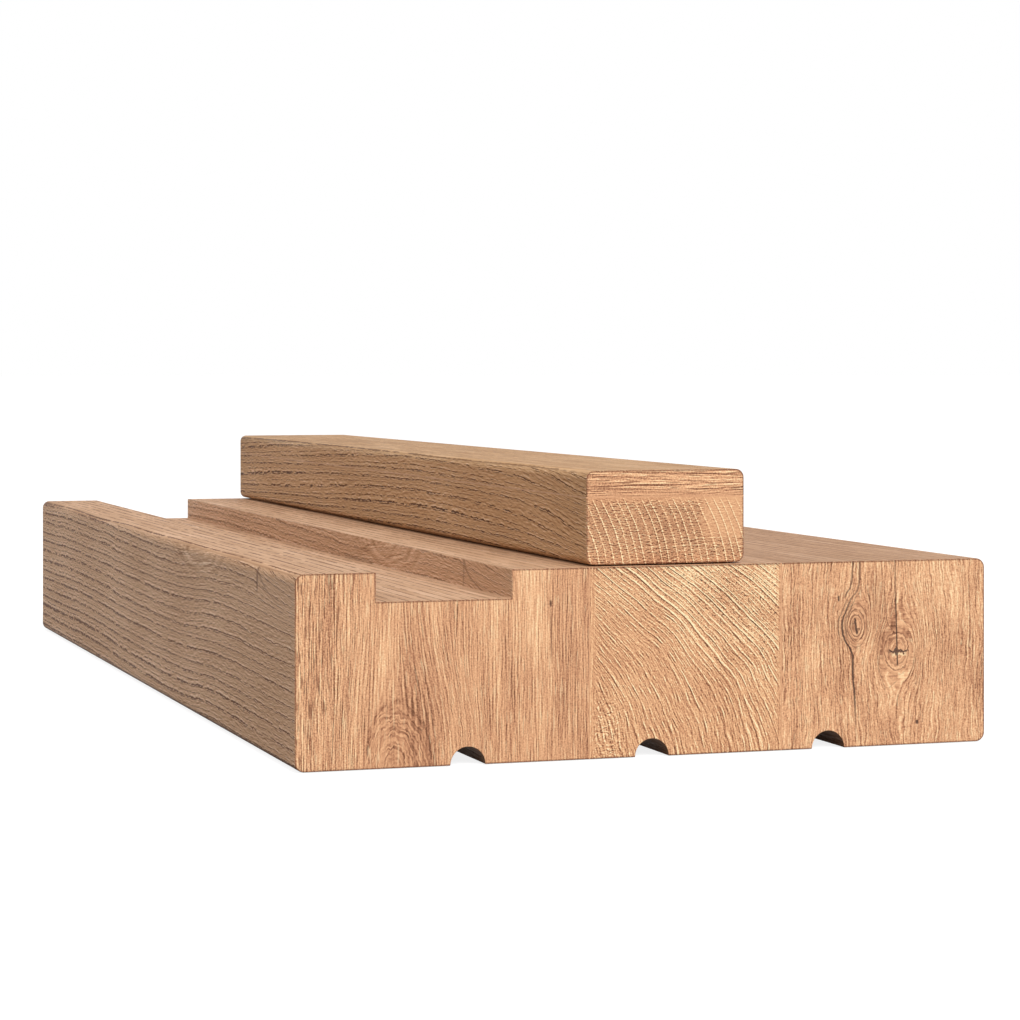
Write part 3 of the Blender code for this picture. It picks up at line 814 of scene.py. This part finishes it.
# %% A long face of oak
def long_grain(
    name, stops, pore_colour, seed, share, top_share, relief=None, up=0.85,
    dash=5.0, thick=(0.08, 0.20), gaps=0.34, wave=None, swirl=False,
):
    """Relief is where the groove below lies. Thick is the pores' share of a ring, in front and behind."""
    oak = Surface(name)
    x, y, z = oak.place()
    top = oak.facing(2).rise(0.5, 0.8)
    side = 1 - top
    bend = oak.noise(x / 50, y / 100, z / 50 + seed, 1.0) - 0.5
    ripple = oak.noise(x / 6, y / 14, z / 6 + seed, 2.0) - 0.5
    level = z * up + x * 0.3 + bend * 2.0 + ripple * 0.65
    level = level + (oak.noise(level / 5, seed, 0.0, 0.0) - 0.5) * 2.2
    if wave:
        level = level - oak.curve(y, *wave) * (z * 0.016 + 0.4).least(1.0) * up
    if swirl:
        level = level + (1 - (y / 36).least(1.0)) * z.rise(26, 40) * 4
    heavy = y * ((thick[1] - thick[0]) / (LENGTH * MM)) + thick[0]
    pores, painted_lip_highlight = pore_rows(oak, level, y, seed, 2.4, dash, heavy, gaps)
    small, small_painted_lip_highlight = pore_rows(oak, level + 0.9, y, seed + 20, 1.2, dash * 0.6, heavy * 1.3, 0.40)
    pores, painted_lip_highlight = pores + small * 0.85, painted_lip_highlight + small_painted_lip_highlight * 0.7
    hair = oak.ridges(level / 0.36, y / 9, seed) * 0.6 + oak.ridges(level / 0.34, y / 3.0, seed + 2) * 1.1
    streak = oak.noise(x / 0.5, y / 40, seed, 1.0) * 1.2
    streak = streak + oak.noise(x / 1.3, y / 90, seed + 5, 1.0) * 0.5 - 0.85
    cloud = oak.noise(x / 13, y / 45, z / 13 + seed, 2.0) - 0.5
    # The pale lip beside each row of pores is a painted highlight.
    tone = 0.5 + cloud * 0.4 + (hair + painted_lip_highlight * 0.4) * side + streak * top
    row = pore_rows(oak, x + bend * 2.5, y, seed + 40, 2.5, 9.0, 0.2)[0]
    fresh = x.rise(16, 40) if swirl else 1.0
    pores = pores * side * share + row * top * top_share * (y * 0.002 + 0.85 - fresh * 0.25).least(1.0)
    if swirl:
        calm, shading = knot_at_the_edge(oak, y, z, ripple, seed)
        calm = calm * side
        tone = tone + calm * shading + fresh * 0.05
        pores = pores * (1 - calm * 0.7) * (1 - fresh * side * 0.4)
        pores = pores.most(short_split(y, z, ripple, 0.7 - fresh * 0.35) * side)
    colour = oak.ramp(tone, *stops)
    colour = oak.blend(pores.least(1.0), colour, pore_colour)
    if relief:
        # Painted shade: the inside of each relief groove and a thin strip low on the sill's sides turn deep
        # brown.
        painted_groove_shade = 1 - oval(x, z, (relief, 0.0), RELIEF_RADIUS * MM, RELIEF_RADIUS * MM).rise(1.005, 1.04)
        painted_foot_shade = z.rise(0.0, 0.1) * (1 - z.rise(0.9, 1.5))
        colour = oak.blend((painted_groove_shade * 0.88).most(painted_foot_shade * 0.9), colour, rgb(78, 44, 20))
    return oak.finish(colour, 0.72 - tone * 0.2, tone * 0.5 - pores, specular=0.1)

# %% [markdown]
# ## Oak for each plank
#
# The sill's oak and the batten's differ in tone, as one board does from the next. Only what differs is
# given here, and one function makes all four materials of the long faces. The ledge behind the batten looks
# darker, as it lies in the batten's shade, and that shade is painted into the room plank's long faces as a
# darker copy of the sill's colours. A wave lists places along the plank and how far the rows rise there.

# %% Make the oak
SILL_STOPS = (
    (0.0, rgb(147, 109, 80)),
    (0.3, rgb(182, 141, 108)),
    (0.55, rgb(202, 161, 127)),
    (0.8, rgb(219, 179, 146)),
    (1.0, rgb(237, 201, 169)),
)
BATTEN_STOPS = (
    (0.0, rgb(137, 99, 66)),
    (0.3, rgb(175, 133, 94)),
    (0.55, rgb(195, 154, 113)),
    (0.8, rgb(211, 171, 131)),
    (1.0, rgb(228, 193, 157)),
)
SILL_PORE, BATTEN_PORE = rgb(100, 62, 38), rgb(84, 50, 26)
# Painted shade: the room plank's long faces take the sill's colours darkened, for the batten's shade on the
# ledge.
ROOM_SHADE = (0.85, 0.82, 0.80)
ROOM_STOPS = [(spot, tuple(c * part for c, part in zip(colour, ROOM_SHADE))) for spot, colour in SILL_STOPS]
SILL_WAVE = (
    (0, 0), (40, 0.7), (62, 1.2), (80, 1.0), (103, -0.4),
    (127, -1.0), (155, -0.3), (190, 0.1), (225, 1.6), (328, 2),
)
BATTEN_WAVE = (
    (0, -5.6), (10, -4.6), (31, -2.4), (66, -0.2), (106, 0.6),
    (150, 0.3), (200, -0.8), (257, -2.4), (328, -4.2),
)
RELIEFS = [(RELIEF_INSET + n * RELIEF_PITCH) * MM for n in range(3)]
oak_long = {
    "weather_lamella": long_grain(
        "oak_long_weather", SILL_STOPS, SILL_PORE, seed=1.0, share=1.0, top_share=0.9, relief=RELIEFS[0],
        wave=SILL_WAVE, swirl=True,
    ),
    "core_lamella": long_grain(
        "oak_long_core", SILL_STOPS, SILL_PORE, seed=2.0, share=0.9, top_share=0.7, relief=RELIEFS[1],
    ),
    "room_lamella": long_grain(
        "oak_long_room", ROOM_STOPS, SILL_PORE, seed=3.0, share=0.9, top_share=0.9, relief=RELIEFS[2], up=0.8,
    ),
    "batten_body": long_grain(
        "oak_long_batten", BATTEN_STOPS, BATTEN_PORE, seed=4.0, share=1.0, top_share=0.8,
        dash=6.0, thick=(0.075, 0.14), gaps=0.37, wave=BATTEN_WAVE,
    ),
}
oak_long["batten_cap"] = oak_long["batten_body"]
oak_ends = {
    "weather_lamella": end_of_weather_plank(),
    "core_lamella": end_of_core_plank(),
    "room_lamella": end_of_room_plank(),
    "batten_body": end_of_batten_body(),
    "batten_cap": end_of_batten_cap(),
}

# %% [markdown]
# ## Dress the planks
#
# Each plank gets two materials, one for its long faces and one for its ends. A face's normal tells which it
# is. The plank then rides on the strip's one body and takes the measured solid's place.

# %% Two materials on each plank
END_NORMAL = 0.6
for node, piece in planks.items():
    piece.data.materials.clear()
    piece.data.materials.append(oak_long[node])
    piece.data.materials.append(oak_ends[node])
    for face in piece.data.polygons:
        face.material_index = 1 if abs(face.normal.y) > END_NORMAL else 0
    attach(piece, "root")
    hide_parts(node)
print("dressed:", sorted(planks))

# %% [markdown]
# ## Glue, steel and beech
#
# The glue has taken up fine dust from the saw, so its colour is close to the wood. The screws are zinc
# plated, with drawn lines round them and dull spots. The dowels are beech: pale, with short darker flecks
# along the grain.

# %% Small materials
def set_glue():
    glue = Surface("set_glue")
    x, y, z = glue.place()
    dust = glue.noise(x / 0.5, y / 2.5, z / 0.8, 3.0, 0.6)
    along = glue.ramp(dust, (0.25, rgb(186, 144, 110)), (0.75, rgb(206, 166, 132)))
    across = glue.ramp(dust, (0.25, rgb(196, 142, 106)), (0.75, rgb(228, 176, 134)))
    colour = glue.blend(glue.facing(1), along, across)
    return glue.finish(colour, 0.75 - dust * 0.3, dust, depth=0.00005)


def zinc_plate():
    zinc = Surface("zinc_plate")
    x, y, z = zinc.place()
    drawn = zinc.noise(x / 2.5, y / 2.5, z / 0.08, 2.0)
    spots = zinc.noise(x / 1.4, y / 1.4, z / 1.4, 3.0, 0.6)
    colour = zinc.ramp(drawn * 0.4 + spots * 0.6, (0.3, rgb(150, 150, 146)), (0.7, rgb(214, 214, 208)))
    zinc.shader.inputs["Metallic"].default_value = 1.0
    return zinc.finish(colour, spots * 0.3 + 0.22, drawn, depth=0.00003, specular=0.5)


def bare_beech():
    beech = Surface("bare_beech")
    x, y, z = beech.place()
    flecks = beech.noise(x / 0.3, y / 0.3, z / 1.6, 2.0).rise(0.58, 0.7)
    cloud = beech.noise(x / 2, y / 2, z / 14, 2.0)
    colour = beech.ramp(cloud, (0.3, rgb(200, 160, 122)), (0.7, rgb(226, 192, 156)))
    colour = beech.blend(flecks * 0.5, colour, rgb(158, 108, 76))
    return beech.finish(colour, 0.78 - cloud * 0.2, cloud - flecks, depth=0.0001)


glue, zinc, beech = set_glue(), zinc_plate(), bare_beech()
for node, film in films.items():
    film.data.materials.clear()
    film.data.materials.append(glue)
    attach(film, "root")
    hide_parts(node)
for name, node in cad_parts.items():
    if "screw" in name or "dowel" in name:
        node.data.materials.clear()
        node.data.materials.append(zinc if "screw" in name else beech)

# %% [markdown]
# ## Camera
#
# The photograph was taken from just above the batten, level, with a long lens, and the view was shifted
# down. So upright edges stay upright. These values come from fitting the sill's corners.

# %% Camera
camera = bpy.data.objects.new("camera", bpy.data.cameras.new("camera"))
bpy.context.scene.collection.objects.link(camera)
camera.location = (-0.21242, -0.71056, 0.08135)
camera.rotation_euler = (math.pi / 2, 0, -math.radians(18.286))
camera.data.sensor_width = 36.0
camera.data.lens = 98.366
camera.data.shift_y = -0.1381
camera.data.clip_start = 0.01
bpy.context.scene.camera = camera
print("camera at", [round(value, 3) for value in camera.location])

# %% [markdown]
# ## Light and floor
#
# A large soft lamp stands far off in front and above, so the end is the brightest face and the light falls
# off only a little along the strip. A weak one on the weather side reaches into the rain groove and leaves
# the ledge behind the batten a little darker. The world fills in from all sides. The floor and the
# background are white to the camera and in reflections, and the floor keeps a faint shadow. So each has two
# strengths, one where it is seen and one for the light that it gives.

# %% Lamps
LIT_SPOT = Vector((0, -0.05, 0.03))


def soft_lamp(name, place, size, watts):
    lamp = bpy.data.objects.new(name, bpy.data.lights.new(name, "AREA"))
    bpy.context.scene.collection.objects.link(lamp)
    lamp.location = place
    lamp.rotation_euler = (LIT_SPOT - lamp.location).to_track_quat("-Z", "Y").to_euler()
    lamp.data.size = size
    lamp.data.energy = watts
    print(name, watts, "W")


soft_lamp("front_lamp", (0.18, -2.15, 1.70), 1.5, 63.3)
soft_lamp("weather_lamp", (-1.3, 0.35, 0.9), 1.0, 3.0)

# %% World and floor
WORLD_LIGHT, WORLD_SEEN = 0.5, 1.0
FLOOR_LIGHT, FLOOR_SEEN, FLOOR_GLOW = 0.3, 0.36, 0.84
FLOOR_SIZE, FLOOR_DROP = 60.0, 0.0002


def seen_white(tree):
    """1 for a ray from the camera, a reflection or glass, and 0 for one that carries light."""
    path = tree.nodes.new("ShaderNodeLightPath")
    found = path.outputs["Is Camera Ray"]
    for kind in ("Is Glossy Ray", "Is Transmission Ray"):
        either = tree.nodes.new("ShaderNodeMath")
        either.operation = "MAXIMUM"
        tree.links.new(found, either.inputs[0])
        tree.links.new(path.outputs[kind], either.inputs[1])
        found = either.outputs[0]
    return found


def between(tree, share, low, high):
    node = tree.nodes.new("ShaderNodeMapRange")
    node.inputs["To Min"].default_value = low
    node.inputs["To Max"].default_value = high
    tree.links.new(share, node.inputs["Value"])
    return node.outputs[0]


world = bpy.data.worlds.new("studio")
bpy.context.scene.world = world
world.use_nodes = True
tree = world.node_tree
background = tree.nodes["Background"]
background.inputs["Color"].default_value = (1, 1, 1, 1)
tree.links.new(between(tree, seen_white(tree), WORLD_LIGHT, WORLD_SEEN), background.inputs["Strength"])

bpy.ops.object.select_all(action="DESELECT")
bpy.ops.mesh.primitive_plane_add(size=FLOOR_SIZE, location=(0, 0, -FLOOR_DROP))
floor = bpy.context.object
floor.name = "floor"
paint = bpy.data.materials.new("white_floor")
paint.use_nodes = True
tree = paint.node_tree
tree.nodes.remove(tree.nodes["Principled BSDF"])
white = seen_white(tree)
diffuse = tree.nodes.new("ShaderNodeBsdfDiffuse")
glow = tree.nodes.new("ShaderNodeEmission")
both = tree.nodes.new("ShaderNodeAddShader")
tree.links.new(between(tree, white, FLOOR_LIGHT, FLOOR_SEEN), diffuse.inputs["Color"])
tree.links.new(between(tree, white, 0.0, FLOOR_GLOW), glow.inputs["Strength"])
tree.links.new(diffuse.outputs[0], both.inputs[0])
tree.links.new(glow.outputs[0], both.inputs[1])
tree.links.new(both.outputs[0], tree.nodes["Material Output"].inputs["Surface"])
floor.data.materials.append(paint)
print("floor, m:", FLOOR_SIZE)
